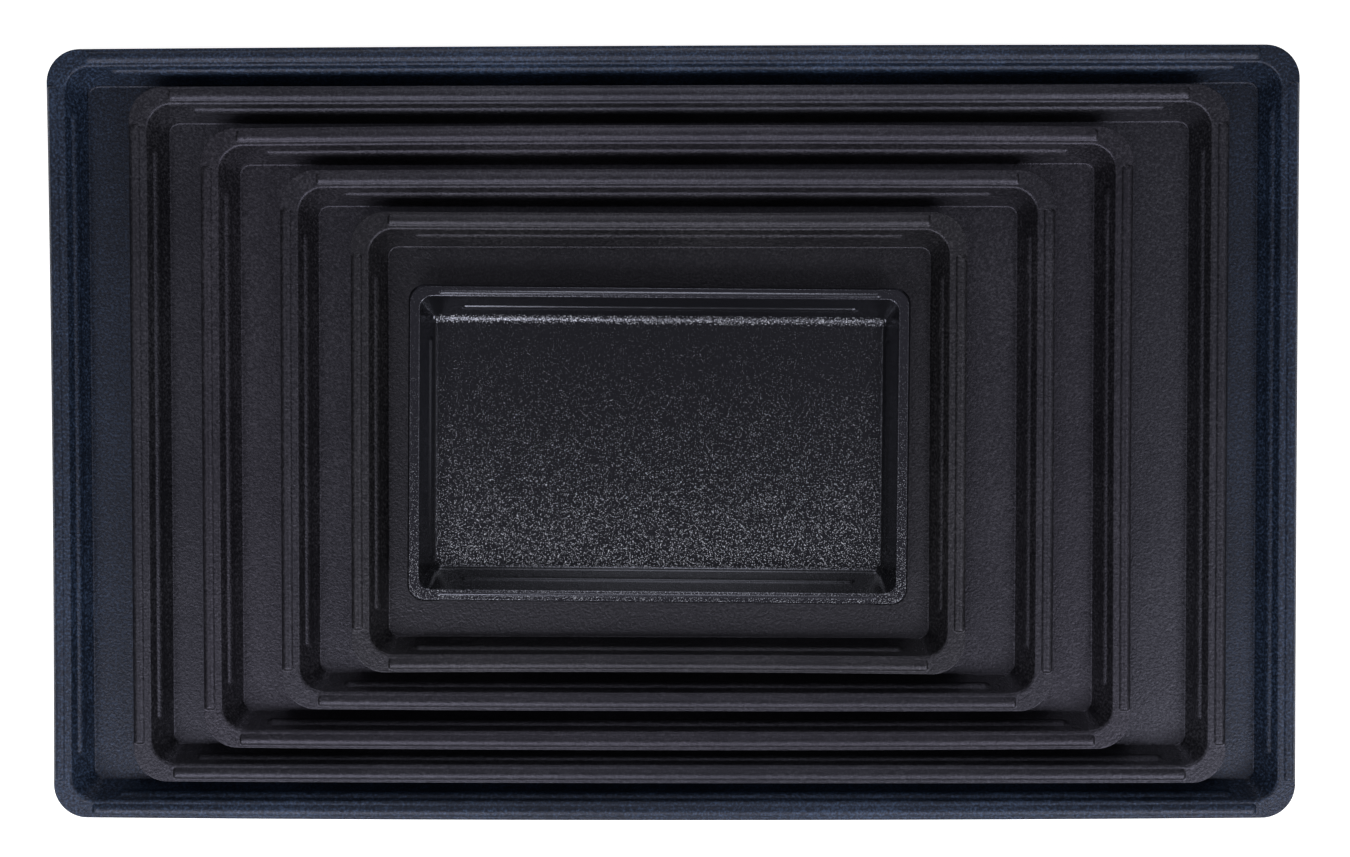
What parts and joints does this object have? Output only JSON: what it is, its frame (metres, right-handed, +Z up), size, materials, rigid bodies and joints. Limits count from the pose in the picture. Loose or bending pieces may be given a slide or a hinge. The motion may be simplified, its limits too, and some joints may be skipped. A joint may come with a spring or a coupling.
{
  "type": "nested developing tray set",
  "caption": "Set of shallow black plastic darkroom developing trays with beaded flat rims and ribbed sloping walls, nested by size, each lifting out of the next.",
  "frame": {"origin": "middle of the largest tray's rim outline, in the plane that its floor rests on", "axes": "+X along the long side, +Y along the short side, +Z up out of the open trays"},
  "size_m": [1.185, 0.732, 0.0411],
  "materials": {
    "black_fine_grain": "fine leather grain, low sheen",
    "black_pebble_gloss": "coarse pebble grain, semi-gloss"
  },
  "bodies": {
    "tray_6_largest": {"tray_6_largest": "black_fine_grain"},
    "tray_5_second_largest": {"tray_5_second_largest": "black_fine_grain"},
    "tray_4": {"tray_4": "black_fine_grain"},
    "tray_3": {"tray_3": "black_fine_grain"},
    "tray_2_second_smallest": {"tray_2_second_smallest": "black_fine_grain"},
    "tray_1_smallest": {"tray_1_smallest": "black_pebble_gloss"}
  },
  "joints": [
    {"name": "lift_out_tray_5_second_largest", "type": "slide", "parent": "tray_6_largest", "child": "tray_5_second_largest", "axis": [0, 0, 1], "range_m": [0, 0.08]},
    {"name": "lift_out_tray_4", "type": "slide", "parent": "tray_5_second_largest", "child": "tray_4", "axis": [0, 0, 1], "range_m": [0, 0.08]},
    {"name": "lift_out_tray_3", "type": "slide", "parent": "tray_4", "child": "tray_3", "axis": [0, 0, 1], "range_m": [0, 0.08]},
    {"name": "lift_out_tray_2_second_smallest", "type": "slide", "parent": "tray_3", "child": "tray_2_second_smallest", "axis": [0, 0, 1], "range_m": [0, 0.08]},
    {"name": "lift_out_tray_1_smallest", "type": "slide", "parent": "tray_2_second_smallest", "child": "tray_1_smallest", "axis": [0, 0, 1], "range_m": [0, 0.08]}
  ]
}
